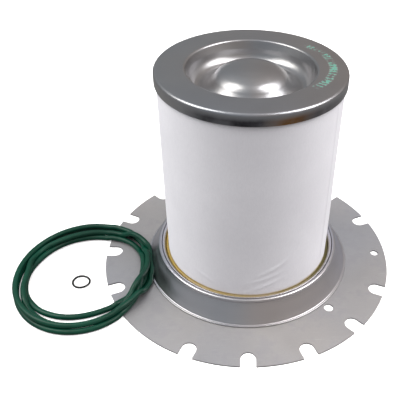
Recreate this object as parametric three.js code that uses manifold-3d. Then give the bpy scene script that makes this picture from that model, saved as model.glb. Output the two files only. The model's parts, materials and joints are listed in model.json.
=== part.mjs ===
// A wrapped air and oil separator element, standing on its mounting flange with the closed end up.
// Millimetres, +Z up. The origin is the centre of the flange's underside, and +Z is the element's axis.
import * as THREE from "three";
import { mergeVertices } from "three/addons/utils/BufferGeometryUtils.js";
import Module from "manifold-3d";

const wasm = await Module();
wasm.setup();

// Clearance that touching pieces keep.
const GAP = 0.3;

// Mounting flange.
const FLANGE_R = 150;
const FLANGE_T = 1.5;
const OUTLET_R = 54;
const SLOT_PITCH_R = 141.4;
const SLOT_HALF_W = 7.2;
const SLOT_CORNER = 1.6;
const SLOT_PLACES = 16;
const PLACES_WITHOUT_SLOT = [0, 10];
const LOCATING_HOLE = { radius: 4, pitch: 139, place: 0 };
const SCAVENGE_HOLE = { radius: 4.65, pitch: 112.8, place: 14 };

// Outlet ferrule and potting pan.
const FERRULE_R = OUTLET_R - GAP;
const FERRULE_T = 1.3;
const PAN_FLOOR_Z = FLANGE_T + GAP;
const PAN_T = 1;
const PAN_R = 87.7;
const PAN_TOP_Z = 22.4;

// Flange collar, a drawn ring with a flared foot and a rolled rim.
const COLLAR_T = 1.2;
const COLLAR_FOOT_R = 105.5;
const COLLAR_WAIST_R = 92;
const COLLAR_RIM_R = 93.4;
const COLLAR_TOP_Z = 25;

// Upper end cap.
const CAP_R = 84.8;
const CAP_T = 1;
const CAP_TOP_Z = 218.4;
const CAP_SKIRT_Z = 207.7;
const CAP_EDGE_R = 2.6;
const RECESS_R = 57;
const TROUGH_R = 46.5;
const TROUGH_Z = 200.4;
const DOME_R = 29;
const DOME_Z = 212.4;
const DOME_CROWN_Z = 217.8;

// Media pack, from the outside in: each layer's inner and outer radius.
const PACK_BOTTOM_Z = 6.3;
const PACK_TOP_Z = 214;
const SLEEVE_R = 82.9;
const LAYERS = {
  outer_sleeve: [81.1, SLEEVE_R],
  outer_core_tube: [79.8, 80.8],
  prefilter_wrap: [76.5, 79.5],
  coalescer_wrap_outer: [72, 76.2],
  coalescer_scrim_outer: [71.1, 71.7],
  coalescer_wrap_inner: [66.6, 70.8],
  coalescer_scrim_inner: [65.7, 66.3],
  drainage_felt: [62.9, 65.4],
  drainage_screen: [62, 62.6],
  inner_core_tube: [60.6, 61.7],
};
const RESIN_TOP_Z = 20.4;
const RESIN_BEAD_Z = 206.9;

// Perforation of the two core tubes.
const HOLE_R = 9;
const HOLE_COLUMNS = 8;
const HOLE_ROWS = 3;
const HOLE_SIDES = 6;

// Loose seals. Each flange ring lies folded into two loops that cross once.
const SEAL_R = 2.85;
const SEAL_SPREAD = 3.1;
const SEAL_STEP = 2 * SEAL_R + GAP;
const SEAL_HUMP = 6.3;
const SEAL_HUMP_WIDTH = 0.74;
const SEAL_Z = FLANGE_T + GAP + SEAL_R + 0.05;
const LOWER_SEAL = { x: -170, y: -41, long: 67, short: 62, turn: 1.29, crossing: 3.3 };
const UPPER_SEAL = { x: -167.5, y: -44, long: 67, short: 62.5, turn: 1.29, crossing: 0.6 };
const SMALL_SEAL = { x: -169.1, y: -46, radius: 8.3, section: 1 };

const SEGMENTS = 40;

const COLOURS = {
  flange: { color: 0x9c9ca0, roughness: 0.42, metalness: 0.9 },
  collar: { color: 0x8a8b90, roughness: 0.28, metalness: 0.95 },
  cap: { color: 0x77777b, roughness: 0.3, metalness: 0.95 },
  steel: { color: 0x8f9094, roughness: 0.4, metalness: 0.9 },
  sleeve: { color: 0xdcdbe0, roughness: 0.95, metalness: 0 },
  glassFibre: { color: 0xe9e2c8, roughness: 0.95, metalness: 0 },
  felt: { color: 0xd8d5cc, roughness: 0.98, metalness: 0 },
  net: { color: 0xc9ccd0, roughness: 0.8, metalness: 0 },
  resin: { color: 0xa8862c, roughness: 0.35, metalness: 0 },
  greenRubber: { color: 0x123c2c, roughness: 0.45, metalness: 0 },
  blackRubber: { color: 0x101010, roughness: 0.5, metalness: 0 },
};

// A closed solid from any closed three.js geometry.
function solidOf(geometry) {
  const bare = new THREE.BufferGeometry();
  bare.setAttribute("position", geometry.getAttribute("position"));
  bare.setIndex(geometry.index);
  const merged = mergeVertices(bare, 1e-3);
  return new wasm.Manifold(
    new wasm.Mesh({
      numProp: 3,
      vertProperties: merged.attributes.position.array,
      triVerts: new Uint32Array(merged.index.array),
    }),
  );
}

// The three.js geometry of a solid.
function geometryOf(solid) {
  const mesh = solid.getMesh();
  const geometry = new THREE.BufferGeometry();
  geometry.setAttribute("position", new THREE.BufferAttribute(mesh.vertProperties, 3));
  geometry.setIndex(new THREE.BufferAttribute(mesh.triVerts, 1));
  geometry.computeVertexNormals();
  return geometry;
}

// A ring turned about Z from a closed outline of [radius, height] points, listed anticlockwise.
function turned(outline) {
  const points = outline.map(([r, z]) => new THREE.Vector2(r, z));
  points.push(points[0].clone());
  return new THREE.LatheGeometry(points, SEGMENTS).rotateX(Math.PI / 2);
}

// A plain hollow cylinder.
function hollowCylinder(inner, outer, bottom, top) {
  return turned([
    [inner, bottom],
    [outer, bottom],
    [outer, top],
    [inner, top],
  ]);
}

// Points of an arc about (r, z), with its angles in degrees.
function arc(r, z, radius, from, to, steps) {
  const points = [];
  for (let i = 0; i <= steps; i++) {
    const angle = THREE.MathUtils.degToRad(from + ((to - from) * i) / steps);
    points.push([r + radius * Math.cos(angle), z + radius * Math.sin(angle)]);
  }
  return points;
}

// The outline of a sheet of the given thickness: its back face along the line, then its outer face,
// the line itself, back to the start. The metal is on the line's right-hand side.
function sheetOutline(line, thickness) {
  const back = line.map(([r, z], i) => {
    const [r0, z0] = line[Math.max(i - 1, 0)];
    const [r1, z1] = line[Math.min(i + 1, line.length - 1)];
    const length = Math.hypot(r1 - r0, z1 - z0);
    return [r + ((z1 - z0) / length) * thickness, z - ((r1 - r0) / length) * thickness];
  });
  return [...back, ...[...line].reverse()];
}

// Samples of a smooth curve through the given [radius, height] points.
function smooth(points, steps) {
  const curve = new THREE.SplineCurve(points.map(([r, z]) => new THREE.Vector2(r, z)));
  return curve.getPoints(steps).map((p) => [p.x, p.y]);
}

function placeAngle(place) {
  return (place * 2 * Math.PI) / SLOT_PLACES;
}

// A point given along and across the radius at one of the slot places.
function atPlace(place, along, across) {
  const angle = placeAngle(place);
  const x = along * Math.cos(angle) - across * Math.sin(angle);
  const y = along * Math.sin(angle) + across * Math.cos(angle);
  return new THREE.Vector2(x, y);
}

// Adds one open U slot to the flange's outline, from its clockwise lip to its other lip.
function addSlot(shape, place) {
  const angle = placeAngle(place);
  const lip = Math.sqrt(FLANGE_R ** 2 - SLOT_HALF_W ** 2);
  const points = [-1, 1].map((side) => ({
    corner: atPlace(place, lip, side * SLOT_HALF_W),
    wall: atPlace(place, lip - SLOT_CORNER, side * SLOT_HALF_W),
    foot: atPlace(place, SLOT_PITCH_R, side * SLOT_HALF_W),
  }));
  const centre = atPlace(place, SLOT_PITCH_R, 0);
  const mouth = (SLOT_HALF_W + SLOT_CORNER) / FLANGE_R;
  const end = new THREE.Vector2(Math.cos(angle + mouth), Math.sin(angle + mouth)).multiplyScalar(FLANGE_R);
  const [first, last] = points;
  shape.quadraticCurveTo(first.corner.x, first.corner.y, first.wall.x, first.wall.y);
  shape.lineTo(first.foot.x, first.foot.y);
  shape.absarc(centre.x, centre.y, SLOT_HALF_W, angle - Math.PI / 2, angle + Math.PI / 2, true);
  shape.lineTo(last.wall.x, last.wall.y);
  shape.quadraticCurveTo(last.corner.x, last.corner.y, end.x, end.y);
}

// A round hole as a path of several arcs, so that large holes stay round.
function roundHole(x, y, radius, arcs) {
  const hole = new THREE.Path();
  for (let i = 0; i < arcs; i++) {
    const from = (i * 2 * Math.PI) / arcs;
    hole.absarc(x, y, radius, from, from + (2 * Math.PI) / arcs, false);
  }
  return hole;
}

function mountingFlange() {
  const mouth = (SLOT_HALF_W + SLOT_CORNER) / FLANGE_R;
  const shape = new THREE.Shape();
  let from = placeAngle(0);
  for (let place = 1; place <= SLOT_PLACES; place++) {
    const slotted = !PLACES_WITHOUT_SLOT.includes(place % SLOT_PLACES);
    const to = placeAngle(place) - (slotted ? mouth : 0);
    shape.absarc(0, 0, FLANGE_R, from, to, false);
    if (slotted) {
      addSlot(shape, place);
    }
    from = placeAngle(place) + (slotted ? mouth : 0);
  }
  shape.holes.push(roundHole(0, 0, OUTLET_R, 6));
  for (const { radius, pitch, place } of [LOCATING_HOLE, SCAVENGE_HOLE]) {
    const centre = atPlace(place, pitch, 0);
    shape.holes.push(roundHole(centre.x, centre.y, radius, 2));
  }
  return new THREE.ExtrudeGeometry(shape, { depth: FLANGE_T, bevelEnabled: false, curveSegments: 4 });
}

function flangeCollar() {
  const foot = FLANGE_T + GAP + COLLAR_T;
  const rim = 1.9;
  const line = [
    [COLLAR_FOOT_R, foot],
    [103.4, foot],
    ...smooth([[102, 4.1], [97.6, 9.4], [94.2, 14.6], [COLLAR_WAIST_R, 20.4]], 4),
    ...arc(COLLAR_RIM_R - rim, COLLAR_TOP_Z - rim, rim, -20, 170, 6),
  ];
  return turned(sheetOutline(line.reverse(), COLLAR_T));
}

function upperEndCap() {
  const edge = CAP_EDGE_R;
  const line = [
    [CAP_R, CAP_SKIRT_Z],
    ...arc(CAP_R - edge, CAP_TOP_Z - edge, edge, 0, 90, 3),
    ...arc(RECESS_R + 2.2, CAP_TOP_Z - 2.2, 2.2, 90, 160, 3),
    ...smooth([[54.6, 210.5], [51.2, 203.4], [TROUGH_R, TROUGH_Z], [41.5, 203.2], [36, 208.6]], 7),
    [DOME_R + 2, DOME_Z - 0.9],
    [DOME_R - 3, DOME_Z + 1.6],
    [DOME_R - 10, DOME_CROWN_Z - 1.4],
    [DOME_R - 19, DOME_CROWN_Z - 0.3],
    [0, DOME_CROWN_Z],
  ];
  const profile = sheetOutline(line.reverse(), CAP_T).map(([r, z]) => new THREE.Vector2(r, z));
  profile[0].x = 0;
  return new THREE.LatheGeometry(profile, SEGMENTS).rotateX(Math.PI / 2);
}

function outletFerrule() {
  const bore = FERRULE_R - FERRULE_T;
  const floorTop = PAN_FLOOR_Z + PAN_T + GAP;
  return turned([
    [bore, GAP],
    [FERRULE_R, GAP],
    [FERRULE_R, floorTop],
    [FERRULE_R + 3, floorTop],
    [FERRULE_R + 3, floorTop + PAN_T],
    [bore, floorTop + PAN_T],
  ]);
}

function lowerEndPan() {
  const floorTop = PAN_FLOOR_Z + PAN_T;
  return turned([
    [OUTLET_R + GAP, PAN_FLOOR_Z],
    [PAN_R, PAN_FLOOR_Z],
    [PAN_R, PAN_TOP_Z],
    [PAN_R - PAN_T, PAN_TOP_Z],
    [PAN_R - PAN_T, floorTop],
    [OUTLET_R + GAP, floorTop],
  ]);
}

function lowerPotting() {
  const inner = LAYERS.inner_core_tube[1] + GAP;
  const outer = PAN_R - PAN_T - GAP;
  const floor = PAN_FLOOR_Z + PAN_T + GAP;
  return turned([
    [inner, floor],
    [outer, floor],
    [outer, RESIN_TOP_Z],
    [SLEEVE_R + GAP, RESIN_TOP_Z],
    [SLEEVE_R + GAP, PACK_BOTTOM_Z - GAP],
    [inner, PACK_BOTTOM_Z - GAP],
  ]);
}

function upperPotting() {
  const inner = RECESS_R + 3.4;
  const outer = CAP_R - CAP_T - GAP;
  const ceiling = CAP_TOP_Z - CAP_T - GAP;
  const edge = CAP_EDGE_R;
  return turned([
    [inner, PACK_TOP_Z + GAP],
    [SLEEVE_R + 0.2, PACK_TOP_Z + GAP],
    [SLEEVE_R + 0.2, RESIN_BEAD_Z],
    [outer, RESIN_BEAD_Z],
    [outer, ceiling - edge],
    [outer - edge, ceiling],
    [inner, ceiling],
  ]);
}

// A core tube with rows of large round openings, each row turned half a pitch from the last.
function perforatedTube(inner, outer, bottom, top) {
  let tube = solidOf(hollowCylinder(inner, outer, bottom, top));
  const depth = outer - inner + 12;
  const punch = new THREE.CylinderGeometry(HOLE_R, HOLE_R, depth, HOLE_SIDES).rotateZ(Math.PI / 2);
  for (let row = 0; row < HOLE_ROWS; row++) {
    const z = bottom + ((top - bottom) * (row + 0.5)) / HOLE_ROWS;
    for (let column = 0; column < HOLE_COLUMNS; column++) {
      const angle = ((column + (row % 2) / 2) * 2 * Math.PI) / HOLE_COLUMNS;
      const cutter = punch.clone().translate((inner + outer) / 2, 0, 0).rotateZ(angle).translate(0, 0, z);
      tube = tube.subtract(solidOf(cutter));
    }
  }
  return geometryOf(tube);
}

// How far a folded ring lifts over its own first loop, at an angle in radians from the crossing.
function hump(angle) {
  return SEAL_HUMP * Math.exp(-((angle / SEAL_HUMP_WIDTH) ** 2));
}

// The shortest way round from b to a on a circle of the given length.
function wrapped(a, b, length) {
  return THREE.MathUtils.euclideanModulo(a - b + length / 2, length) - length / 2;
}

// The centreline of a ring folded into two oval loops. They lie side by side and change places once,
// where the second loop climbs over the first. With a ring beneath, it rests on that one's crossing too.
class FoldedRing extends THREE.Curve {
  constructor(place, beneath = null) {
    super();
    this.place = place;
    this.beneath = beneath;
  }

  getPoint(t, target = new THREE.Vector3()) {
    const { x, y, long, short, turn, crossing } = this.place;
    const angle = 4 * Math.PI * t;
    const side = Math.tanh(4 * Math.cos((angle - crossing + Math.PI) / 2));
    const local = angle - turn;
    const normal = new THREE.Vector2(Math.cos(local) / long, Math.sin(local) / short).normalize();
    const point = new THREE.Vector2(long * Math.cos(local), short * Math.sin(local));
    point.addScaledVector(normal, SEAL_SPREAD * side).rotateAround(new THREE.Vector2(), turn);
    let z = SEAL_Z + hump(wrapped(angle, crossing + 2 * Math.PI, 4 * Math.PI));
    if (this.beneath) {
      z += SEAL_STEP + hump(wrapped(angle, this.beneath.crossing, 2 * Math.PI));
    }
    return target.set(x + point.x, y + point.y, z);
  }
}

function foldedSeal(place, beneath) {
  return new THREE.TubeGeometry(new FoldedRing(place, beneath), 76, SEAL_R, 8, true);
}

function smallSeal() {
  const { x, y, radius, section } = SMALL_SEAL;
  return new THREE.TorusGeometry(radius, section, 8, 24).translate(x, y, section + 0.05);
}

const element = new THREE.Group();

function add(name, geometry, colour) {
  const mesh = new THREE.Mesh(geometry, new THREE.MeshStandardMaterial(COLOURS[colour]));
  mesh.name = name;
  element.add(mesh);
}

function addLayer(name, colour) {
  const [inner, outer] = LAYERS[name];
  add(name, hollowCylinder(inner, outer, PACK_BOTTOM_Z, PACK_TOP_Z), colour);
}

add("mounting_flange", mountingFlange(), "flange");
add("flange_collar", flangeCollar(), "collar");
add("outlet_ferrule", outletFerrule(), "steel");
add("lower_end_pan", lowerEndPan(), "steel");
add("lower_potting", lowerPotting(), "resin");
add("upper_end_cap", upperEndCap(), "cap");
add("upper_potting", upperPotting(), "resin");

addLayer("outer_sleeve", "sleeve");
addLayer("prefilter_wrap", "felt");
addLayer("coalescer_wrap_outer", "glassFibre");
addLayer("coalescer_scrim_outer", "net");
addLayer("coalescer_wrap_inner", "glassFibre");
addLayer("coalescer_scrim_inner", "net");
addLayer("drainage_felt", "felt");
addLayer("drainage_screen", "net");

const panFloorTop = PAN_FLOOR_Z + PAN_T + GAP;
add("outer_core_tube", perforatedTube(...LAYERS.outer_core_tube, PACK_BOTTOM_Z, PACK_TOP_Z), "steel");
add("inner_core_tube", perforatedTube(...LAYERS.inner_core_tube, panFloorTop, PACK_TOP_Z), "steel");

add("flange_seal_lower", foldedSeal(LOWER_SEAL, null), "greenRubber");
add("flange_seal_upper", foldedSeal(UPPER_SEAL, LOWER_SEAL), "greenRubber");
add("small_seal", smallSeal(), "blackRubber");

export default element;
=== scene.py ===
import json
import math
import random

import bmesh
import bpy
import numpy as np
from mathutils import Matrix, Vector


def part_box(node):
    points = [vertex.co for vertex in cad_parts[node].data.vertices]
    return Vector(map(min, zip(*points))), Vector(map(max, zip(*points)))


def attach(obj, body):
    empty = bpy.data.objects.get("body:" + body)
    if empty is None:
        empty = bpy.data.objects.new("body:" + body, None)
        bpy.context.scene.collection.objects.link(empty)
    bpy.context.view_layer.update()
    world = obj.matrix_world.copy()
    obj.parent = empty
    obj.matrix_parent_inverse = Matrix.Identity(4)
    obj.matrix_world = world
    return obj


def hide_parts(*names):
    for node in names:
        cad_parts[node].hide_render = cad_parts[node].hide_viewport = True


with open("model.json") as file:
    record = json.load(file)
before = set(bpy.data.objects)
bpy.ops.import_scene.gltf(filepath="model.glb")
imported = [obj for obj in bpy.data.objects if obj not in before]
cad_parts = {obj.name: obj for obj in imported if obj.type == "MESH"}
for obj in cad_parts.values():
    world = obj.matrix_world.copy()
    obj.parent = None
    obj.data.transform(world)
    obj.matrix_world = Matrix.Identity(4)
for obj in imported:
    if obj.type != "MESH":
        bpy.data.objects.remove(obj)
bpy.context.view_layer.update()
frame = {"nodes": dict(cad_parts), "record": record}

# Lengths below are in millimetres, and meshes are scaled to metres where they are made.
MM = 0.001


def reach(node, axis=0):
    """A CAD node's highest coordinate on an axis, in millimetres."""
    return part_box(node)[1][axis] / MM


def base(node):
    """A CAD node's lowest height, in millimetres."""
    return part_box(node)[0][2] / MM


# ---------------------------------------------------------------- sizes from the frame
FLANGE_R = reach("mounting_flange")
FLANGE_T = reach("mounting_flange", 2)
SLEEVE_R = reach("outer_sleeve")
CAP_R = reach("upper_end_cap")
CAP_TOP = reach("upper_end_cap", 2)
COLLAR_FOOT_R = reach("flange_collar")
COLLAR_TOP = reach("flange_collar", 2)
PAN_R = reach("lower_end_pan")
FERRULE_LIP_R = reach("outlet_ferrule")
INNER_TUBE_R = reach("inner_core_tube")

# ---------------------------------------------------------------- sizes of the details
OUTLET_R = 54.0
SLOT_PITCH_R = 141.4
SLOT_HALF_W = 7.2
SLOT_LIP = 1.5
SLOT_PLACES = 16
PLACES_WITHOUT_SLOT = (0, 10)
LOCATING_HOLE = (4.0, 139.0, 0)
SCAVENGE_HOLE = (4.65, 112.8, 14)

CAP_T = 1.0
CAP_SKIRT_Z = CAP_TOP - 10.7
CAP_EDGE_R = 2.6
RECESS_R = 57.0
COLLAR_T = 1.2
COLLAR_RIM_R = 1.9
RESIN_Z = 20.4

TURN_STEPS = 256


# ---------------------------------------------------------------- mesh helpers
def new_object(name, vertices, faces, sharp=35):
    """A mesh object from millimetre coordinates, smooth but for its sharp edges."""
    mesh = bpy.data.meshes.new(name)
    mesh.from_pydata([[c * MM for c in v] for v in vertices], [], faces)
    mesh.validate()
    mesh.polygons.foreach_set("use_smooth", [True] * len(mesh.polygons))
    mesh.set_sharp_from_angle(angle=math.radians(sharp))
    made = bpy.data.objects.new(name, mesh)
    bpy.context.scene.collection.objects.link(made)
    return made


def arc(r, z, radius, start, end, steps):
    """Points of an arc about (r, z), with its angles in degrees."""
    angles = [math.radians(start + (end - start) * i / steps) for i in range(steps + 1)]
    return [(r + radius * math.cos(a), z + radius * math.sin(a)) for a in angles]


def smooth(points, steps):
    """A Catmull-Rom curve through points of any dimension, with that many steps between each two."""
    points = [np.array(p, float) for p in points]
    ends = [2 * points[0] - points[1]] + points + [2 * points[-1] - points[-2]]
    curve = []
    for p0, p1, p2, p3 in zip(ends, ends[1:], ends[2:], ends[3:]):
        for i in range(steps):
            t = i / steps
            curve.append(
                0.5 * (2 * p1 + (p2 - p0) * t + (2 * p0 - 5 * p1 + 4 * p2 - p3) * t**2
                       + (3 * p1 - p0 - 3 * p2 + p3) * t**3)
            )
    return [tuple(p) for p in curve] + [tuple(points[-1])]


def sheet_outline(line, thickness, round_start=True, round_end=True):
    """The closed outline of sheet metal along a line of (r, z) points, on the line's right-hand side."""
    line = np.array(line, float)
    step = np.gradient(line, axis=0)
    step /= np.linalg.norm(step, axis=1)[:, None]
    right = np.stack([step[:, 1], -step[:, 0]], axis=1)
    back = line + right * thickness

    def rounded(face, other, along):
        middle, half = (face + other) / 2, (face - other) / 2
        return [middle + half * math.cos(a) + along * thickness / 2 * math.sin(a)
                for a in np.linspace(0, math.pi, 7)[1:-1]]

    end = rounded(back[-1], line[-1], step[-1]) if round_end else []
    start = rounded(line[0], back[0], -step[0]) if round_start else []
    return [tuple(p) for p in [*back, *end, *line[::-1], *start]]


def turned(name, outline, steps=TURN_STEPS, wobble=None, sharp=35):
    """A closed body turned about Z from a closed (r, z) outline. Points on the axis become one vertex."""
    vertices, rings = [], []
    for r, z in outline:
        if abs(r) < 1e-6:
            rings.append([len(vertices)] * steps)
            vertices.append((0, 0, z))
            continue
        ring = []
        for i in range(steps):
            angle = 2 * math.pi * i / steps
            dr, dz = wobble(r, z, angle) if wobble else (0, 0)
            ring.append(len(vertices))
            vertices.append(((r + dr) * math.cos(angle), (r + dr) * math.sin(angle), z + dz))
        rings.append(ring)
    faces = []
    on_axis = [abs(r) < 1e-6 for r, _ in outline]
    for k in range(len(outline)):
        a, b = rings[k], rings[(k + 1) % len(rings)]
        if on_axis[k] and on_axis[(k + 1) % len(rings)]:
            continue
        for i in range(steps):
            j = (i + 1) % steps
            corners = [a[i], a[j], b[j], b[i]]
            faces.append(list(dict.fromkeys(corners)))
    made = new_object(name, vertices, faces, sharp)
    face_outward(made)
    return made


def face_outward(piece):
    work = bmesh.new()
    work.from_mesh(piece.data)
    bmesh.ops.recalc_face_normals(work, faces=work.faces)
    work.to_mesh(piece.data)
    work.free()


# ---------------------------------------------------------------- material helpers
# A dent's depth in the steel sheets, in metres.
DENT_DEPTH = 0.00004


class Nodes:
    """Short ways to lay out a material's nodes."""

    def __init__(self, name):
        self.material = bpy.data.materials.new(name)
        self.material.use_nodes = True
        self.tree = self.material.node_tree
        self.shader = self.tree.nodes["Principled BSDF"]

    def add(self, kind, **values):
        node = self.tree.nodes.new(kind)
        for key, value in values.items():
            if key in node.inputs.keys():
                node.inputs[key].default_value = value
            else:
                setattr(node, key, value)
        return node

    def link(self, output, target, socket):
        self.tree.links.new(output, target.inputs[socket])

    def place(self, scale=(1, 1, 1), turn=(0, 0, 0)):
        """Object coordinates, scaled and turned."""
        coords = self.add("ShaderNodeTexCoord")
        mapping = self.add("ShaderNodeMapping")
        mapping.inputs["Scale"].default_value = scale
        mapping.inputs["Rotation"].default_value = turn
        self.link(coords.outputs["Object"], mapping, "Vector")
        return mapping.outputs["Vector"]

    def noise(self, scale, detail=4.0, roughness=0.55, stretch=(1, 1, 1), turn=(0, 0, 0)):
        node = self.add("ShaderNodeTexNoise", Scale=scale, Detail=detail, Roughness=roughness)
        self.link(self.place(stretch, turn), node, "Vector")
        return node.outputs["Fac"]

    def ramp(self, value, *stops):
        node = self.add("ShaderNodeValToRGB")
        elements = node.color_ramp.elements
        while len(elements) < len(stops):
            elements.new(0.5)
        for element, (at, colour) in zip(elements, stops):
            element.position = at
            grey = isinstance(colour, (int, float))
            element.color = (colour, colour, colour, 1) if grey else (*colour, 1)
        self.link(value, node, "Fac")
        return node.outputs["Color"]

    def math(self, operation, a, b):
        node = self.add("ShaderNodeMath", operation=operation)
        # Only MULTIPLY_ADD reads a third number. It puts a coordinate about zero in the middle of a ramp.
        node.inputs[2].default_value = 0.5
        for i, v in enumerate((a, b)):
            if isinstance(v, (int, float)):
                node.inputs[i].default_value = v
            else:
                self.tree.links.new(v, node.inputs[i])
        return node.outputs[0]

    def mix(self, share, a, b, blend="MIX"):
        node = self.add("ShaderNodeMix", data_type="RGBA", blend_type=blend)
        for i, v in ((0, share), (6, a), (7, b)):
            if isinstance(v, (int, float)):
                node.inputs[i].default_value = v
            elif isinstance(v, tuple):
                node.inputs[i].default_value = (*v, 1)
            else:
                self.tree.links.new(v, node.inputs[i])
        return node.outputs[2]

    def bump(self, height, depth, strength=1.0, below=None):
        node = self.add("ShaderNodeBump", Strength=strength, Distance=depth)
        self.link(height, node, "Height")
        if below is not None:
            self.link(below, node, "Normal")
        return node.outputs["Normal"]

    def axis(self, letter):
        """The object coordinate along one axis, in metres."""
        coords = self.add("ShaderNodeTexCoord")
        split = self.add("ShaderNodeSeparateXYZ")
        self.link(coords.outputs["Object"], split, "Vector")
        return split.outputs[letter]


def steel_material(name, dark, light, roughness, mottle=16, grain=0.05, marks=None):
    """Sheet steel: faintly cloudy colour and roughness, a slow warm and cool drift, and shallow dents."""
    n = Nodes(name)
    colour = n.ramp(n.noise(mottle, 5, 0.6), (0.25, dark), (0.75, light))
    drift = n.ramp(n.noise(5, 2, 0.5), (0.35, (0.95, 0.98, 1.03)), (0.65, (1.03, 1.0, 0.96)))
    colour = n.mix(1.0, colour, drift, blend="MULTIPLY")
    fine = n.ramp(n.noise(700, 3, 0.6), (0.35, 0.0), (0.75, grain))
    colour = n.mix(fine, colour, tuple(0.7 * c for c in dark))
    n.shader.inputs["Metallic"].default_value = 1.0
    if marks:
        colour, bare = marks(n, colour)
        n.link(bare, n.shader, "Metallic")
    n.link(colour, n.shader, "Base Color")
    low, high = roughness
    n.link(n.ramp(n.noise(mottle * 1.7, 6, 0.65), (0.3, low), (0.72, high)), n.shader, "Roughness")
    dents = n.noise(38, 2, 0.5, stretch=(1, 1.6, 1), turn=(0, 0, 0.6))
    n.link(n.bump(dents, DENT_DEPTH, 0.5), n.shader, "Normal")
    return n.material


def within(n, value, low, high, soft):
    """One inside a range and zero outside it, with soft ends. Each end is moved to the middle of a ramp."""
    rise = n.ramp(n.math("SUBTRACT", value, low - 0.5), (0.5 - soft, 0.0), (0.5 + soft, 1.0))
    fall = n.ramp(n.math("SUBTRACT", value, high - 0.5), (0.5 - soft, 1.0), (0.5 + soft, 0.0))
    return n.math("MULTIPLY", rise, fall)


# The cap's marks, in decimetres: the centre of the ink's arc, its radii, its angles in radians, and how
# often the dabs repeat.
INK_AT = (0.16, 0.03)
INK_RADII = (0.52, 0.585)
INK_ANGLES = (-0.88, 0.90)
INK_DABS = 78.0
INK_COLOUR = (0.02, 0.24, 0.165)
# Painted dark reflections and a brown stain on the skirt's front: each reaches from one X to another, and
# has a colour. The two dark greys are painted reflection, the brown is a stain.
SKIRT_STAIN_AND_PAINTED_REFLECTIONS = ((-0.46, 0.16, (0.05, 0.048, 0.056)), (0.15, 0.48, (0.24, 0.125, 0.05)),
                (0.42, 0.76, (0.15, 0.14, 0.15)))


def cap_ink_stain_and_painted_reflections(n, colour):
    """Smudged dabs of ink on an arc at the ring's right side, and low on the skirt's front a brown stain and
    dark patches of painted reflection.
    """
    x, y, z = (n.math("MULTIPLY", n.axis(letter), 10.0) for letter in "XYZ")

    def distance(east, north):
        east, north = n.math("SUBTRACT", x, east), n.math("SUBTRACT", y, north)
        squares = n.math("ADD", n.math("MULTIPLY", east, east), n.math("MULTIPLY", north, north))
        return n.math("SQRT", squares, 0.0), n.math("ARCTAN2", north, east)

    radius, angle = distance(*INK_AT)
    band = n.math("MULTIPLY", within(n, radius, *INK_RADII, 0.006), within(n, angle, *INK_ANGLES, 0.01))
    dabs = n.math("SINE", n.math("MULTIPLY", angle, INK_DABS), 0.0)
    groups = n.math("MULTIPLY", n.noise(62, 1, 0.5), 0.8)
    worn = n.math("ADD", n.math("MULTIPLY", dabs, 0.12), n.math("ADD", groups, n.noise(420, 2, 0.6)))
    ink = n.math("MULTIPLY", band, n.ramp(worn, (0.90, 0.0), (1.0, 0.8)))
    colour = n.mix(ink, colour, INK_COLOUR)
    skirt = n.ramp(distance(0.0, 0.0)[0], (0.815, 0.0), (0.825, 1.0))
    low = n.ramp(n.math("SUBTRACT", z, 1.6), (0.515, 1.0), (0.562, 0.0))
    low = n.math("MULTIPLY", n.math("MULTIPLY", low, skirt), n.ramp(y, (0.0, 1.0), (0.01, 0.0)))
    cloud = n.ramp(n.noise(45, 4, 0.6), (0.35, 0.65), (0.6, 1.0))
    # The dark tones paint reflection onto the skirt's front; the brown tone is a stain.
    for low_x, high_x, tone in SKIRT_STAIN_AND_PAINTED_REFLECTIONS:
        place = n.math("MULTIPLY", within(n, x, low_x, high_x, 0.09), low)
        colour = n.mix(n.math("MULTIPLY", place, cloud), colour, tone)
    return colour, n.math("SUBTRACT", 1.0, ink)


def flange_marks(n, colour):
    """Faint handling stains and a few fine rubbed lines."""
    cloud = n.noise(30, 6, 0.7)
    colour = n.mix(n.ramp(cloud, (0.50, 0.0), (0.62, 0.35)), colour, (0.25, 0.245, 0.265))
    lines = n.noise(45, 5, 0.7, stretch=(1, 14, 1), turn=(0, 0, 0.9))
    colour = n.mix(n.ramp(lines, (0.60, 0.0), (0.72, 0.5)), colour, (0.42, 0.42, 0.43))
    return colour, n.ramp(cloud, (0.3, 0.62), (0.7, 0.48))


def fabric_material(name, dark, light, grain, depth, roughness=0.95):
    """A plain fibrous material for the layers inside the pack."""
    n = Nodes(name)
    fibres = n.noise(grain, 6, 0.7, stretch=(1, 1, 0.4))
    n.link(n.ramp(fibres, (0.3, dark), (0.7, light)), n.shader, "Base Color")
    n.link(n.bump(fibres, depth), n.shader, "Normal")
    n.shader.inputs["Roughness"].default_value = roughness
    return n.material


def net_material():
    """An open knitted net."""
    n = Nodes("open_net")
    waves = []
    for turn in (0.6, -0.6):
        wave = n.add("ShaderNodeTexWave", Scale=160.0)
        n.link(n.place(turn=(turn, 0, 0)), wave, "Vector")
        waves.append(wave.outputs["Fac"])
    knit = n.math("MAXIMUM", *waves)
    n.link(n.ramp(knit, (0.5, (0.32, 0.34, 0.36)), (0.8, (0.72, 0.74, 0.76))), n.shader, "Base Color")
    n.link(n.bump(knit, 0.0003), n.shader, "Normal")
    n.shader.inputs["Roughness"].default_value = 0.8
    return n.material


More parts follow.
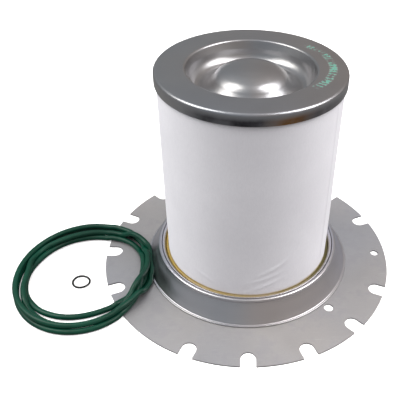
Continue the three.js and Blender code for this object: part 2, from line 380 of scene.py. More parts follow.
def nonwoven_material():
    """The white outer wrap: matted fibres, faint clouds, and resin drawn up into its foot."""
    n = Nodes("white_nonwoven")
    cloud = n.noise(14, 4, 0.6)
    fibres = n.noise(700, 5, 0.75, stretch=(1, 1, 0.35))
    colour = n.ramp(cloud, (0.25, (0.72, 0.71, 0.755)), (0.75, (0.795, 0.785, 0.83)))
    colour = n.mix(n.ramp(fibres, (0.3, 0.25), (0.7, 0.0)), colour, (0.58, 0.57, 0.62))
    edge = n.math("ADD", n.axis("Z"), n.math("MULTIPLY", n.noise(60, 4, 0.6), 0.003))
    wet = n.ramp(n.math("MULTIPLY", edge, 10.0), (0.225, 0.8), (0.245, 0.0))
    n.link(n.mix(wet, colour, (0.50, 0.38, 0.16)), n.shader, "Base Color")
    weave = n.bump(fibres, 0.00012, 0.7)
    n.link(n.bump(n.noise(35, 3, 0.5), 0.0006, 0.35, below=weave), n.shader, "Normal")
    n.shader.inputs["Roughness"].default_value = 0.92
    n.shader.inputs["Sheen Weight"].default_value = 0.15
    return n.material


def resin_material():
    """Amber casting resin, with painted shade: a little darker and greener at the +X side, where it lies in
    the shaded gap by the rim.
    """
    n = Nodes("amber_resin")
    side = n.math("MULTIPLY_ADD", n.axis("X"), 4.0)
    # Painted shade: darker, greener resin towards +X stands in for the shade in the gap between sleeve and
    # rim.
    resin_tone_with_painted_shade = n.ramp(side, (0.2, (0.36, 0.25, 0.06)), (0.85, (0.10, 0.09, 0.03)))
    front = n.ramp(n.math("MULTIPLY_ADD", n.axis("Y"), 4.0), (0.14, 0.75), (0.30, 0.0))
    cloud = n.ramp(n.noise(45, 5, 0.6), (0.35, 0.35), (0.7, 1.0))
    n.link(n.mix(n.math("MULTIPLY", front, cloud), resin_tone_with_painted_shade, (0.33, 0.26, 0.19)), n.shader, "Base Color")
    n.link(n.bump(n.noise(160, 4, 0.5), 0.0004, 0.5), n.shader, "Normal")
    n.shader.inputs["Roughness"].default_value = 0.3
    n.shader.inputs["Coat Weight"].default_value = 0.3
    return n.material


def rubber_material(name, dark, light, roughness):
    """Moulded rubber with a faint bloom and tiny nibs."""
    n = Nodes(name)
    bloom = n.noise(55, 5, 0.6)
    n.link(n.ramp(bloom, (0.35, dark), (0.75, light)), n.shader, "Base Color")
    low, high = roughness
    n.link(n.ramp(n.noise(120, 5, 0.6), (0.3, low), (0.75, high)), n.shader, "Roughness")
    n.link(n.bump(n.noise(1500, 3, 0.6), 0.00003, 0.6), n.shader, "Normal")
    n.shader.inputs["Specular IOR Level"].default_value = 0.32
    return n.material


def floor_material(name, dark, light, glow=0.0):
    """Plain paper."""
    n = Nodes(name)
    n.link(n.ramp(n.noise(3, 3, 0.5), (0.3, dark), (0.7, light)), n.shader, "Base Color")
    n.shader.inputs["Roughness"].default_value = 0.9
    n.shader.inputs["Specular IOR Level"].default_value = 0.1
    n.shader.inputs["Emission Color"].default_value = (1, 1, 1, 1)
    n.shader.inputs["Emission Strength"].default_value = glow
    return n.material


# ---------------------------------------------------------------- camera
# The view was fitted to the circles in the photograph. Angles are in degrees, and lengths in metres.
VIEW_TURN, VIEW_ELEVATION, VIEW_ROLL = -1.5, 37.5055, 1.412
VIEW_DISTANCE, VIEW_TARGET_Z = 0.60255, 0.0725
# The lens and the sensor's width are in millimetres, and the shift is a share of that width.
LENS, SENSOR, SHIFT = 53.53, 36.0, -0.12


def make_camera():
    """The photograph's view: from above the front, with the lens that its circles give."""
    turn, elevation, roll = (math.radians(a) for a in (VIEW_TURN, VIEW_ELEVATION, VIEW_ROLL))
    distance, target = VIEW_DISTANCE, Vector((0, 0, VIEW_TARGET_Z))
    data = bpy.data.cameras.new("camera")
    data.lens, data.sensor_width, data.shift_x = LENS, SENSOR, SHIFT
    data.clip_start, data.clip_end = 0.01, 50
    camera = bpy.data.objects.new("camera", data)
    aim = (Matrix.Rotation(turn, 4, "Z") @ Matrix.Rotation(math.pi / 2 - elevation, 4, "X")
           @ Matrix.Rotation(roll, 4, "Z"))
    back = Matrix.Rotation(turn, 4, "Z") @ Vector((0, -math.cos(elevation), math.sin(elevation)))
    camera.matrix_world = Matrix.Translation(target + distance * back) @ aim
    bpy.context.scene.collection.objects.link(camera)
    bpy.context.scene.camera = camera


# ---------------------------------------------------------------- studio
def soft_box(name, azimuth, elevation, distance, size, power, colour=(1, 1, 1)):
    """A square area light that looks at the element. Azimuth 0 is the front, 90 the right."""
    a, e = math.radians(azimuth), math.radians(elevation)
    target = Vector((0, 0, 0.12))
    out = Vector((math.sin(a) * math.cos(e), -math.cos(a) * math.cos(e), math.sin(e)))
    data = bpy.data.lights.new(name, "AREA")
    data.shape, data.size, data.size_y = "RECTANGLE", size[0], size[1]
    data.energy, data.color = power, colour
    light = bpy.data.objects.new(name, data)
    light.location = target + out * distance
    light.rotation_mode = "QUATERNION"
    light.rotation_quaternion = (-out).to_track_quat("-Z", "Y")
    bpy.context.scene.collection.objects.link(light)
    return light


def floor_plane(name, height, material):
    half = 6000.0
    corners = [(x * half, y * half, height) for x, y in ((-1, -1), (1, -1), (1, 1), (-1, 1))]
    floor = new_object(name, corners, [(0, 1, 2, 3)])
    floor.data.materials.append(material)
    return floor


def make_sky():
    """A soft white surround, a little warmer at the right and a little brighter overhead."""
    world = bpy.data.worlds.new("studio")
    world.use_nodes = True
    tree = world.node_tree
    coords = tree.nodes.new("ShaderNodeTexCoord")
    split = tree.nodes.new("ShaderNodeSeparateXYZ")
    tree.links.new(coords.outputs["Generated"], split.inputs["Vector"])
    tints = []
    for letter, stops in (("X", ((0.42, (1.02, 1.08, 1.13)), (0.60, (1.16, 1.06, 1.0)))),
                          ("Z", ((0.76, (0.34, 0.34, 0.34)), (0.87, (0.50, 0.50, 0.50))))):
        half = tree.nodes.new("ShaderNodeMath")
        half.operation = "MULTIPLY_ADD"
        half.inputs[1].default_value = half.inputs[2].default_value = 0.5
        tree.links.new(split.outputs[letter], half.inputs[0])
        ramp = tree.nodes.new("ShaderNodeValToRGB")
        ramp.color_ramp.interpolation = "EASE"
        for element, (at, colour) in zip(ramp.color_ramp.elements, stops):
            element.position, element.color = at, (*colour, 1)
        tree.links.new(half.outputs[0], ramp.inputs["Fac"])
        tints.append(ramp.outputs["Color"])
    product = tree.nodes.new("ShaderNodeVectorMath")
    product.operation = "MULTIPLY"
    for k, tint in enumerate(tints):
        tree.links.new(tint, product.inputs[k])
    tree.links.new(product.outputs["Vector"], tree.nodes["Background"].inputs["Color"])
    bpy.context.scene.world = world


def make_studio():
    """Soft boxes at both sides and overhead, and a white floor. The object reflects a greyer table."""
    make_sky()
    bpy.context.scene.view_settings.view_transform = "Standard"
    soft_box("left_box", -84, 50, 1.7, (1.0, 1.3), 17, (1.0, 0.97, 0.91))
    soft_box("right_box", 82, 50, 1.7, (1.0, 1.3), 22, (1.0, 1.0, 1.0))
    for fill in (soft_box("top_box", 0, 88, 3.0, (6.0, 6.0), 135),
                 soft_box("left_fill", -98, 14, 2.4, (1.6, 1.6), 22),
                 soft_box("right_fill", 100, 14, 2.4, (1.6, 1.6), 13)):
        fill.visible_glossy = False
    seen = floor_plane("floor", 0, floor_material("pale_floor", 0.92, 0.96, glow=0.3))
    seen.visible_glossy = seen.visible_diffuse = seen.visible_shadow = False
    table = floor_plane("table_in_reflections", -0.5, floor_material("grey_table", 0.13, 0.16))
    table.visible_camera = False


# ---------------------------------------------------------------- mounting flange
def at_place(place, along, across=0.0):
    angle = 2 * math.pi * place / SLOT_PLACES
    c, s = math.cos(angle), math.sin(angle)
    return (along * c - across * s, along * s + across * c)


def slot_outline(place):
    """One open U slot, from its clockwise lip to its other lip, with rounded lips."""
    lip = math.sqrt(FLANGE_R**2 - SLOT_HALF_W**2)
    side = [(lip + SLOT_LIP * 0.15, -SLOT_HALF_W - SLOT_LIP * 0.9), (lip, -SLOT_HALF_W - SLOT_LIP * 0.3),
            (lip - SLOT_LIP * 0.4, -SLOT_HALF_W), (lip - SLOT_LIP, -SLOT_HALF_W)]
    end = [(SLOT_PITCH_R - SLOT_HALF_W * math.cos(a), SLOT_HALF_W * math.sin(a))
           for a in np.linspace(-math.pi / 2, math.pi / 2, 25)]
    lips = [(along, -across) for along, across in reversed(side)]
    return [at_place(place, *p) for p in side + end + lips]


def circle(x, y, radius, steps):
    return [(x + radius * math.cos(a), y + radius * math.sin(a))
            for a in np.linspace(0, 2 * math.pi, steps, endpoint=False)]


def flange_outline():
    pitch = 2 * math.pi / SLOT_PLACES
    mouth = (SLOT_HALF_W + SLOT_LIP) / FLANGE_R
    points = []
    for place in range(SLOT_PLACES):
        slotted = place not in PLACES_WITHOUT_SLOT
        next_slotted = (place + 1) % SLOT_PLACES not in PLACES_WITHOUT_SLOT
        if slotted:
            points += slot_outline(place)
        start = place * pitch + (mouth if slotted else 0)
        end = (place + 1) * pitch - (mouth if next_slotted else 0)
        rim = np.linspace(start, end, 22)
        rim = rim[:-1] if not next_slotted else rim
        points += [(FLANGE_R * math.cos(a), FLANGE_R * math.sin(a)) for a in rim]
    return points


def plate(name, loops, bottom, top, bevel):
    """A flat sheet with holes, from closed loops, with its edges broken."""
    curve = bpy.data.curves.new(name, "CURVE")
    curve.dimensions, curve.fill_mode = "2D", "BOTH"
    curve.extrude = (top - bottom) / 2 * MM
    for loop in loops:
        spline = curve.splines.new("POLY")
        spline.points.add(len(loop) - 1)
        spline.use_cyclic_u = True
        for point, (x, y) in zip(spline.points, loop):
            point.co = (x * MM, y * MM, 0, 1)
    rough = bpy.data.objects.new(name + "_curve", curve)
    mesh = bpy.data.meshes.new_from_object(rough)
    bpy.data.objects.remove(rough)
    work = bmesh.new()
    work.from_mesh(mesh)
    bmesh.ops.remove_doubles(work, verts=work.verts, dist=1e-6)
    bmesh.ops.dissolve_limit(work, angle_limit=math.radians(0.5), verts=work.verts, edges=work.edges)
    bmesh.ops.translate(work, verts=work.verts, vec=(0, 0, (top + bottom) / 2 * MM))
    rims = [e for e in work.edges if len(e.link_faces) == 2 and e.calc_face_angle() > math.radians(60)
            and abs(e.verts[0].co.z - e.verts[1].co.z) < 1e-6]
    bmesh.ops.bevel(work, geom=rims, offset=bevel * MM, segments=2, affect="EDGES", clamp_overlap=True)
    bmesh.ops.triangulate(work, faces=[f for f in work.faces if len(f.verts) > 4])
    bmesh.ops.recalc_face_normals(work, faces=work.faces)
    work.to_mesh(mesh)
    work.free()
    mesh.polygons.foreach_set("use_smooth", [True] * len(mesh.polygons))
    mesh.set_sharp_from_angle(angle=math.radians(32))
    made = bpy.data.objects.new(name, mesh)
    bpy.context.scene.collection.objects.link(made)
    return made


def make_flange(finish):
    loops = [flange_outline(), circle(0, 0, OUTLET_R, 160)]
    for radius, pitch, place in (LOCATING_HOLE, SCAVENGE_HOLE):
        loops.append(circle(*at_place(place, pitch), radius, 40))
    flange = plate("flange_plate", loops, 0, FLANGE_T, 0.22)
    finish(flange, "element", "flange_sheet", ["mounting_flange"])


# ---------------------------------------------------------------- collar, pan and ferrule
def make_collar(finish):
    foot = base("flange_collar") + COLLAR_T
    rim_r, rim_z = 91.5, COLLAR_TOP - COLLAR_RIM_R
    cone = smooth([(103.75, foot + 0.45), (103.2, foot + 1.3), (100.6, 7.9), (97.3, 13.0), (94.3, 17.6),
                   (92.5, 20.8)], 6)
    line = [(COLLAR_FOOT_R, foot), (104.6, foot), (104.1, foot + 0.1), *cone,
            *arc(rim_r, rim_z, COLLAR_RIM_R, -28, 178, 22)]
    collar = turned("collar_ring", sheet_outline(line[::-1], COLLAR_T))
    finish(collar, "element", "collar_sheet", ["flange_collar"])


def make_pan(finish):
    floor = base("lower_end_pan")
    bore = OUTLET_R + 0.3
    wall = smooth([(PAN_R, 6), (PAN_R - 0.1, 13), (PAN_R - 0.9, 18), (PAN_R - 1.0, 20.2),
                   (PAN_R - 0.2, 22.0), (PAN_R + 0.9, 23.2), (PAN_R + 1.35, 23.5)], 6)
    line = [(bore, floor), (70, floor), *arc(PAN_R - 2.4, floor + 2.4, 2.4, -90, 0, 8), *wall]
    pan = turned("potting_pan", sheet_outline(line[::-1], 1.0))
    finish(pan, "element", "collar_sheet", ["lower_end_pan"])


def make_ferrule(finish):
    inner, low = 52.4, base("outlet_ferrule")
    high = reach("outlet_ferrule", 2)
    line = [(FERRULE_LIP_R, high), (inner + 2.6, high),
            *arc(inner + 1.9, high - 1.9, 1.9, 90, 180, 8), (inner, low + 0.56)]
    ferrule = turned("outlet_ring", sheet_outline(line[::-1], 1.1))
    finish(ferrule, "element", "plain_steel", ["outlet_ferrule"])


# ---------------------------------------------------------------- end cap
def make_cap(finish):
    edge = CAP_EDGE_R
    bowl = smooth([(55.0, CAP_TOP - 6.8), (53.2, 205.8), (50.2, 201.8), (46.6, 200.3),
                   (43.2, 200.6), (39.6, 201.9), (36.5, 204.1), (34, 206.9), (32, 209.5),
                   (29.5, 212.0), (26, 214.1), (20, 216.1), (12, 217.3)], 6)
    line = [(CAP_R, CAP_SKIRT_Z), (CAP_R, CAP_SKIRT_Z + 4),
            *arc(CAP_R - edge, CAP_TOP - edge, edge, 0, 90, 10),
            (76, CAP_TOP), (66, CAP_TOP), *arc(RECESS_R + 2.2, CAP_TOP - 2.2, 2.2, 90, 168, 8), *bowl,
            (6, 217.7), (0, CAP_TOP - 0.6)]
    outline = sheet_outline(line[::-1], CAP_T, round_start=False)
    outline[0] = (0, outline[0][1])
    cap = turned("end_cap_shell", outline)
    finish(cap, "element", "cap_sheet", ["upper_end_cap"])


# ---------------------------------------------------------------- resin
def uneven(seed, parts=9):
    """A smooth periodic function of an angle, from -1 to 1, the same for the same seed."""
    draw = random.Random(seed)
    waves = [(k, draw.uniform(0.3, 1) / k**0.6, draw.uniform(0, 6.28)) for k in range(1, parts * 2, 2)]
    total = sum(size for _, size, _ in waves)
    return lambda angle: sum(size * math.sin(k * angle + at) for k, size, at in waves) / total


def make_resin(finish):
    swell, creep = uneven(3), uneven(5, 14)

    def lower_wobble(r, z, angle):
        if z < RESIN_Z - 3:
            return 0, 0
        near = max(0.0, 1 - (r - SLEEVE_R) / 1.6)
        sunk = 1.7 * max(0.0, math.cos(angle + 0.35)) ** 1.5
        return 0, 0.3 * swell(angle) + 1.0 * near * creep(angle) - sunk

    edge = PAN_R - 2.3
    meniscus = smooth([(edge, RESIN_Z + 0.8), (edge - 0.5, RESIN_Z + 0.3), (84.3, RESIN_Z + 0.3),
                       (83.6, RESIN_Z + 0.9), (83.2, RESIN_Z + 2.0)], 5)
    outline = [(SLEEVE_R + 0.05, RESIN_Z - 14.3), (62, RESIN_Z - 14.3), (62, 3.1), (PAN_R - 2.6, 3.1),
               (PAN_R - 1.3, 4.6), (PAN_R - 1.4, 13), (PAN_R - 2.2, RESIN_Z - 3.2), *meniscus,
               (SLEEVE_R + 0.05, RESIN_Z + 1.8)]
    lower = turned("resin_foot", outline, wobble=lower_wobble, sharp=50)
    finish(lower, "element", "resin", ["lower_potting"])

    drip = uneven(11, 12)

    def upper_wobble(r, z, angle):
        return 0, 0.45 * drip(angle) if z < CAP_SKIRT_Z + 1 else 0

    low = CAP_SKIRT_Z - 0.8
    outline = [(SLEEVE_R + 0.05, CAP_TOP - 4.1), (60.4, CAP_TOP - 4.1), (60.4, CAP_TOP - 1.4),
               (80.8, CAP_TOP - 1.4), (83.4, CAP_TOP - 4), (83.55, low + 0.5), (83.4, low + 0.1),
               (83.1, low), (SLEEVE_R + 0.05, low + 0.1)]
    upper = turned("resin_head", outline, wobble=upper_wobble, sharp=50)
    finish(upper, "element", "resin", ["upper_potting"])


# ---------------------------------------------------------------- sleeve
# The wrap's own thickness, the grid of its mesh, and its lap: where it starts, how thick it is,
# how wide, and how soft its far edge is.
SLEEVE_WALL = 1.7
SLEEVE_COLUMNS, SLEEVE_ROWS = 400, 120
LAP_ANGLE = math.radians(-29)
LAP_T = 0.55
LAP_WIDTH = math.radians(2.0)
LAP_EDGE = math.radians(0.12)
# Each fold has its middle's angle and height, its rise over one length, its length in radians and its depth.
FOLDS = ((-1.30, 52, 6.0, 0.16, 0.5), (-1.36, 42, 5.0, 0.2, 0.45), (-1.42, 31, 7.0, 0.22, 0.55),
         (-1.15, 60, 8.0, 0.13, 0.35), (-2.1, 36, -6.0, 0.2, 0.3), (0.9, 44, 5.0, 0.25, 0.4),
         (2.3, 50, -5.0, 0.2, 0.4))
FOLD_HALF_W = 1.5


def sleeve_relief(angle, z):
    """How far the wrap's face stands off its cylinder: soft hollows, a few folds at its foot and the lap."""
    soft = 0.10 * math.sin(3 * angle + 1.3) * math.sin(z / 31.0) + 0.07 * math.sin(7 * angle + z / 23.0)
    folds = 0.0
    for at, height, lean, length, depth in FOLDS:
        across = z - height - lean * (angle - at) / length
        folds += depth * math.exp(-(across / FOLD_HALF_W)**2 - ((angle - at) / length)**2)
    past_lap = (angle - LAP_ANGLE) % (2 * math.pi)
    lap = LAP_T / (1 + math.exp(-(LAP_WIDTH - past_lap) / LAP_EDGE)) if past_lap < 0.3 else 0
    return soft + folds + lap


def make_sleeve(finish):
    low, high = base("outer_sleeve"), reach("outer_sleeve", 2)
    columns, rows, wall = SLEEVE_COLUMNS, SLEEVE_ROWS, SLEEVE_WALL
    vertices, faces = [], []
    for side in (0, 1):
        for j in range(rows + 1):
            z = low + (high - low) * j / rows
            fade = min(1, max(0, (z - 22) / 12)) * min(1, max(0, (CAP_SKIRT_Z - z) / 14))
            for i in range(columns):
                angle = 2 * math.pi * i / columns - math.pi
                r = SLEEVE_R - 0.15 + fade * sleeve_relief(angle, z) - wall * side
                r = r if side == 0 else SLEEVE_R - wall
                vertices.append((r * math.cos(angle), r * math.sin(angle), z))
    count = columns * (rows + 1)
    for i in range(columns):
        k = (i + 1) % columns
        for j in range(rows):
            a, b, c, d = (j * columns + i, j * columns + k, (j + 1) * columns + k, (j + 1) * columns + i)
            faces.append((a, b, c, d))
            faces.append((d + count, c + count, b + count, a + count))
        top = rows * columns
        faces.append((k, i, i + count, k + count))
        faces.append((top + i, top + k, top + k + count, top + i + count))
    sleeve = new_object("sleeve_wrap", vertices, faces, 60)
    face_outward(sleeve)
    finish(sleeve, "element", "white_nonwoven", ["outer_sleeve"])


# ---------------------------------------------------------------- perforated inner tube
def make_inner_tube(finish):
    outer, wall = INNER_TUBE_R, 1.0
    low, high = base("inner_core_tube"), reach("inner_core_tube", 2)
    columns, rows, hole = 44, 24, 2.6
    wide, tall = 2 * math.pi * outer / columns, (high - low) / rows
    vertices, faces, known = [], [], {}

    def corner(u, z, side):
        u %= columns * wide
        key = (round(u, 3), round(z, 3), side)
        if key not in known:
            angle, r = u / outer, outer - wall * side
            known[key] = len(vertices)
            vertices.append((r * math.cos(angle), r * math.sin(angle), z))
        return known[key]

    rim = [(1, 0), (1, 1), (0, 1), (-1, 1), (-1, 0), (-1, -1), (0, -1), (1, -1)]
    for i in range(columns):
        for j in range(rows):
            u, z = (i + 0.5) * wide, low + (j + 0.5) * tall
            holes, edges = [[], []], [[], []]
            for k, (du, dz) in enumerate(rim):
                angle = k * math.pi / 4
                for side in (0, 1):
                    edges[side].append(corner(u + du * wide / 2, z + dz * tall / 2, side))
                    holes[side].append(corner(u + hole * math.cos(angle), z + hole * math.sin(angle), side))
            for k in range(8):
                m = (k + 1) % 8
                faces.append((edges[0][k], edges[0][m], holes[0][m], holes[0][k]))
                faces.append((edges[1][m], edges[1][k], holes[1][k], holes[1][m]))
                faces.append((holes[0][k], holes[0][m], holes[1][m], holes[1][k]))
    for i in range(columns):
        for half in (0, 0.5):
            a, b = (i + half) * wide, (i + half + 0.5) * wide
            faces.append((corner(b, low, 0), corner(a, low, 0), corner(a, low, 1), corner(b, low, 1)))
            faces.append((corner(a, high, 0), corner(b, high, 0), corner(b, high, 1), corner(a, high, 1)))
    tube = new_object("perforated_tube", vertices, faces, 40)
    face_outward(tube)
    finish(tube, "element", "plain_steel", ["inner_core_tube"])


# ---------------------------------------------------------------- folded O-rings
SEAL_R = 2.85
# In the photo one turn of the heap of strands is 0.409 m along its middle. Each ring is taken as two turns.
# The heap's middle in plan, and its middle line: a mean radius, and then the cosine and the sine of the
# angle and of twice the angle. Both were fitted to the heap's outline in the photo and rounded.
COIL_AT = np.array((-166.6, -40.3))
COIL_MEAN_R = 64.8
COIL_WAVES = ((0.8, 2.8), (-2.5, 1.6))
SEAL_STEPS = 320
# How far each strand lies outside the middle line, at these angles in degrees. These were set one by one.
OFFSET_AT = (0, 45, 75, 100, 125, 152, 180, 215, 250, 285, 310, 335)
LOW_OUTER = (2.0, 3.6, 4.5, 4.2, 4.2, 4.4, 4.6, 5.0, 7.0, 8.5, 7.5, 5.0)
LOW_INNER = (-4.8, -5.0, -9.0, -9.0, -7.0, -5.0, -3.8, -5.0, -9.0, -10.5, -9.0, -5.5)
HIGH_OUTER = (7.0, 4.5, 3.5, 3.8, 4.2, 4.6, 4.6, 4.5, 4.5, 4.0, 4.0, 4.5)
HIGH_INNER = (-0.5, -2.0, -6.0, -8.0, -6.5, -0.5, -4.9, -2.0, 0.5, 0.5, 0.5, -1.5)
# Where one loop of a ring goes over its other loop: how high, and over what angle in radians.
HUMP, HUMP_WIDTH = 6.2, 0.22
# Each ring's crossing, in degrees, and its height before it settles.
LOW_CROSSING, LOW_START = 345, 3.2
HIGH_CROSSING, HIGH_START = 40, 9.5

# How the strands settle. Each round they sink, are drawn back to their plan and smoothed, and push apart.
SINK = 0.10
HOLD_TO_PLAN = 0.86
STIFFNESS = 0.45
LEVELLING = 0.06
CLEARANCE = 0.1
PUSH_SHARE = 0.45
SIDEWAYS_PUSH = 0.35
# Steps along one ring that are too near each other to count as touching.
NEIGHBOURS = 7
# How near the element's axis a strand's middle may come at each height, so that it stays off the collar.
LEAN_Z = (4.3, 5.0, 5.6, 6.0, 7.0, 10.0, 14.0, 18.0)
LEAN_R = (108.2, 107.6, 106.8, 105.2, 103.6, 101.8, 99.6, 97.6)


def periodic(values, angles):
    """A smooth closed curve through the values at OFFSET_AT, in degrees, read at angles in radians."""
    at = np.radians(OFFSET_AT + (360,))
    values = np.array(values + values[:1], float)
    slope = (np.roll(values[:-1], -1) - np.roll(values[:-1], 1)) / (
        np.mod(np.roll(at[:-1], -1) - np.roll(at[:-1], 1), 2 * math.pi))
    slope = np.append(slope, slope[0])
    angles = np.mod(angles, 2 * math.pi)
    k = np.clip(np.searchsorted(at, angles, side="right") - 1, 0, len(at) - 2)
    step = at[k + 1] - at[k]
    t = (angles - at[k]) / step
    return ((2 * t**3 - 3 * t**2 + 1) * values[k] + (t**3 - 2 * t**2 + t) * step * slope[k]
            + (3 * t**2 - 2 * t**3) * values[k + 1] + (t**3 - t**2) * step * slope[k + 1])


def folded_ring(outer, inner, crossing, height):
    """One ring folded into two loops that swap places, one over the other, at the crossing."""
    turn = np.linspace(0, 4 * math.pi, SEAL_STEPS, endpoint=False)
    crossing = math.radians(crossing)
    share = 0.5 + 0.5 * np.tanh(4 * np.cos((turn - crossing + math.pi) / 2))
    middle = COIL_MEAN_R
    for k, (cosine, sine) in enumerate(COIL_WAVES, 1):
        middle = middle + cosine * np.cos(k * turn) + sine * np.sin(k * turn)
    radius = middle + share * periodic(outer, turn) + (1 - share) * periodic(inner, turn)
    past = np.mod(turn - crossing + 2 * math.pi, 4 * math.pi) - 2 * math.pi
    hump = HUMP * np.exp(-(past / HUMP_WIDTH) ** 2)
    return np.stack([COIL_AT[0] + radius * np.cos(turn), COIL_AT[1] + radius * np.sin(turn),
                     height + hump], axis=1)


def floor_under(points):
    """The lowest a strand's middle may lie: on the floor, over the flange's edge, or on the flange."""
    out = np.hypot(points[:, 0], points[:, 1]) - FLANGE_R
    over_edge = FLANGE_T + np.sqrt(np.clip(SEAL_R**2 - np.clip(out, 0, SEAL_R) ** 2, 0, None))
    return np.where(out < SEAL_R, np.maximum(over_edge, SEAL_R), SEAL_R)


def settle(rings, rounds=420):
    """Let the strands sink onto the floor, the flange and each other, keeping near their plan."""
    start = np.concatenate(rings)
    points = start.copy()
    total = len(points)
    ring_of = np.arange(total) // SEAL_STEPS
    apart = np.abs(np.arange(total)[:, None] - np.arange(total)[None, :])
    along = np.minimum(apart, SEAL_STEPS - apart)
    own = (ring_of[:, None] == ring_of[None, :]) & (along < NEIGHBOURS)
    clear = 2 * SEAL_R + CLEARANCE

    def both(values):
        parts = values.reshape(len(rings), SEAL_STEPS, -1)
        return (0.5 * (np.roll(parts, 1, axis=1) + np.roll(parts, -1, axis=1))).reshape(values.shape)

    for count in range(rounds):
        if count % 20 == 0:
            gaps = np.linalg.norm(points[:, None] - points[None, :], axis=2)
            one, two = np.nonzero(np.triu((gaps < 3 * SEAL_R) & ~own, 1))
        points[:, 2] -= SINK
        moved = points[:, :2] - start[:, :2]
        moved = HOLD_TO_PLAN * (moved + 0.5 * (both(moved) - moved))
        points[:, :2] = start[:, :2] + moved
        rise = points[:, 2:]
        for _ in range(3):
            curve = both(rise) - rise
            rise = rise + STIFFNESS * (curve - both(curve))
        rise = rise + LEVELLING * (both(rise) - rise)
        points[:, 2:] = rise
        for _ in range(4):
            line = points[one] - points[two]
            gap = np.linalg.norm(line, axis=1)
            push = 0.5 * np.clip(clear - gap, 0, None)[:, None] * line / gap[:, None]
            change = np.zeros_like(points)
            np.add.at(change, one, PUSH_SHARE * push)
            np.add.at(change, two, -PUSH_SHARE * push)
            points = points + change * (SIDEWAYS_PUSH, SIDEWAYS_PUSH, 1.0)
            out = np.hypot(points[:, 0], points[:, 1])
            least = np.interp(points[:, 2], LEAN_Z, LEAN_R)
            points[:, :2] *= np.maximum(1, least / out)[:, None]
            points[:, 2] = np.maximum(points[:, 2], floor_under(points))
    return [points[ring_of == k] for k in range(len(rings))]


def tube_round(name, points, radius, sides=20):
    """A closed smooth tube of round section along a closed line, in millimetres."""
    points = np.asarray(points)
    count = len(points)
    line = []
    for t in (0.0, 0.5):
        p0, p1 = np.roll(points, 1, axis=0), points
        p2, p3 = np.roll(points, -1, axis=0), np.roll(points, -2, axis=0)
        line.append(0.5 * (2 * p1 + (p2 - p0) * t + (2 * p0 - 5 * p1 + 4 * p2 - p3) * t**2
                           + (3 * p1 - p0 - 3 * p2 + p3) * t**3))
    line = np.stack(line, axis=1).reshape(2 * count, 3)
    ahead = np.roll(line, -1, axis=0) - np.roll(line, 1, axis=0)
    ahead /= np.linalg.norm(ahead, axis=1)[:, None]
    across = np.cross(ahead, (0, 0, 1))
    across /= np.linalg.norm(across, axis=1)[:, None]
    above = np.cross(across, ahead)
    angles = np.linspace(0, 2 * math.pi, sides, endpoint=False)
    skin = (line[:, None] + radius * (np.cos(angles)[None, :, None] * across[:, None]
                                      + np.sin(angles)[None, :, None] * above[:, None]))
    steps = len(line)
    faces = []
    for i in range(steps):
        j = (i + 1) % steps
        for a in range(sides):
            b = (a + 1) % sides
            faces.append((i * sides + a, j * sides + a, j * sides + b, i * sides + b))
    made = new_object(name, skin.reshape(-1, 3).tolist(), faces, 60)
    face_outward(made)
    return made


def declare_ring(points):
    """A rubber ring is a closed cord: its path ends where it starts. Its length in metres is the photo's.
    The path is built here and not kept.
    """
    path = [tuple(p * MM) for p in points[::4]]
    path.append(path[0])


def make_seals(finish):
    """Each large ring is a closed cord, folded into two loops, and the second lies on the first."""
    low = folded_ring(LOW_OUTER, LOW_INNER, LOW_CROSSING, LOW_START)
    high = folded_ring(HIGH_OUTER, HIGH_INNER, HIGH_CROSSING, HIGH_START)
    for points, body, node in zip(settle([low, high]), ("lower_seal", "upper_seal"),
                                  ("flange_seal_lower", "flange_seal_upper")):
        seal = tube_round(body + "_ring", points, SEAL_R)
        finish(seal, body, "green_rubber", [node])
        declare_ring(points)


SMALL_SEAL_AT = (-169.1, -46.0)
SMALL_SEAL_R = 8.3
# The radius of its round section.
SMALL_SEAL_SECTION = 1.0


def make_small_seal(finish):
    turn = np.linspace(0, 2 * math.pi, 96, endpoint=False)
    bend = SMALL_SEAL_R * (1 + 0.03 * np.cos(2 * turn + 0.6) + 0.015 * np.cos(3 * turn))
    points = np.stack([SMALL_SEAL_AT[0] + bend * np.cos(turn), SMALL_SEAL_AT[1] + bend * np.sin(turn),
                       np.full_like(turn, SMALL_SEAL_SECTION + 0.02)], axis=1)
    seal = tube_round("small_seal_ring", points, SMALL_SEAL_SECTION, 16)
    finish(seal, "loose_small_seal", "black_rubber", ["small_seal"])
    declare_ring(points)


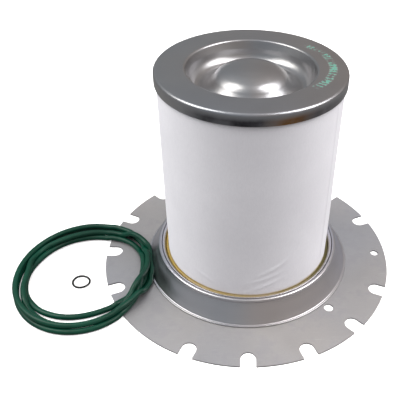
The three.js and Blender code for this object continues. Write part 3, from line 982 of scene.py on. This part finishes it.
# ---------------------------------------------------------------- assembly
def finisher(materials):
    """A function that gives a piece its material, slot and body, and hides what it stands for."""
    def finish(piece, body, slot, nodes):
        piece.data.materials.clear()
        piece.data.materials.append(materials[slot])
        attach(piece, body)
        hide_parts(*nodes)
    return finish


def make_materials():
    """A material for each slot. The cap and collar stay rougher than 0.28, or denoising blotches them."""
    return {
        "flange_sheet": steel_material("flange_sheet", (0.305, 0.30, 0.31), (0.345, 0.34, 0.35),
                                       (0.42, 0.55), mottle=9, grain=0.1, marks=flange_marks),
        "collar_sheet": steel_material("collar_sheet", (0.53, 0.53, 0.565), (0.59, 0.585, 0.62),
                                       (0.285, 0.35)),
        "cap_sheet": steel_material("cap_sheet", (0.375, 0.375, 0.39), (0.42, 0.415, 0.42), (0.285, 0.35),
                                    marks=cap_ink_stain_and_painted_reflections),
        "plain_steel": steel_material("plain_steel", (0.50, 0.51, 0.52), (0.60, 0.61, 0.62), (0.34, 0.48)),
        "resin": resin_material(),
        "white_nonwoven": nonwoven_material(),
        "felt": fabric_material("needled_felt", (0.66, 0.65, 0.60), (0.84, 0.83, 0.79), 500, 0.0003),
        "glass_fibre": fabric_material("glass_fibre", (0.78, 0.74, 0.60), (0.93, 0.90, 0.80), 800, 0.0002),
        "net": net_material(),
        "green_rubber": rubber_material("green_rubber", (0.0005, 0.030, 0.017), (0.001, 0.048, 0.027),
                                        (0.30, 0.42)),
        "black_rubber": rubber_material("black_rubber", (0.006, 0.006, 0.006), (0.014, 0.014, 0.014),
                                        (0.35, 0.5)),
    }


def dress_cad_nodes(materials):
    """The pieces that CAD made well enough keep their shape and get a finish."""
    slots = {row["node"]: row["material_slot"] for row in frame["record"]["subparts"]}
    for name, node in frame["nodes"].items():
        node.data.materials.clear()
        node.data.materials.append(materials[slots[name]])


make_camera()
make_studio()
MATERIALS = make_materials()
FINISH = finisher(MATERIALS)
dress_cad_nodes(MATERIALS)
make_flange(FINISH)
make_collar(FINISH)
make_pan(FINISH)
make_ferrule(FINISH)
make_cap(FINISH)
make_resin(FINISH)
make_sleeve(FINISH)
make_inner_tube(FINISH)
make_seals(FINISH)
make_small_seal(FINISH)
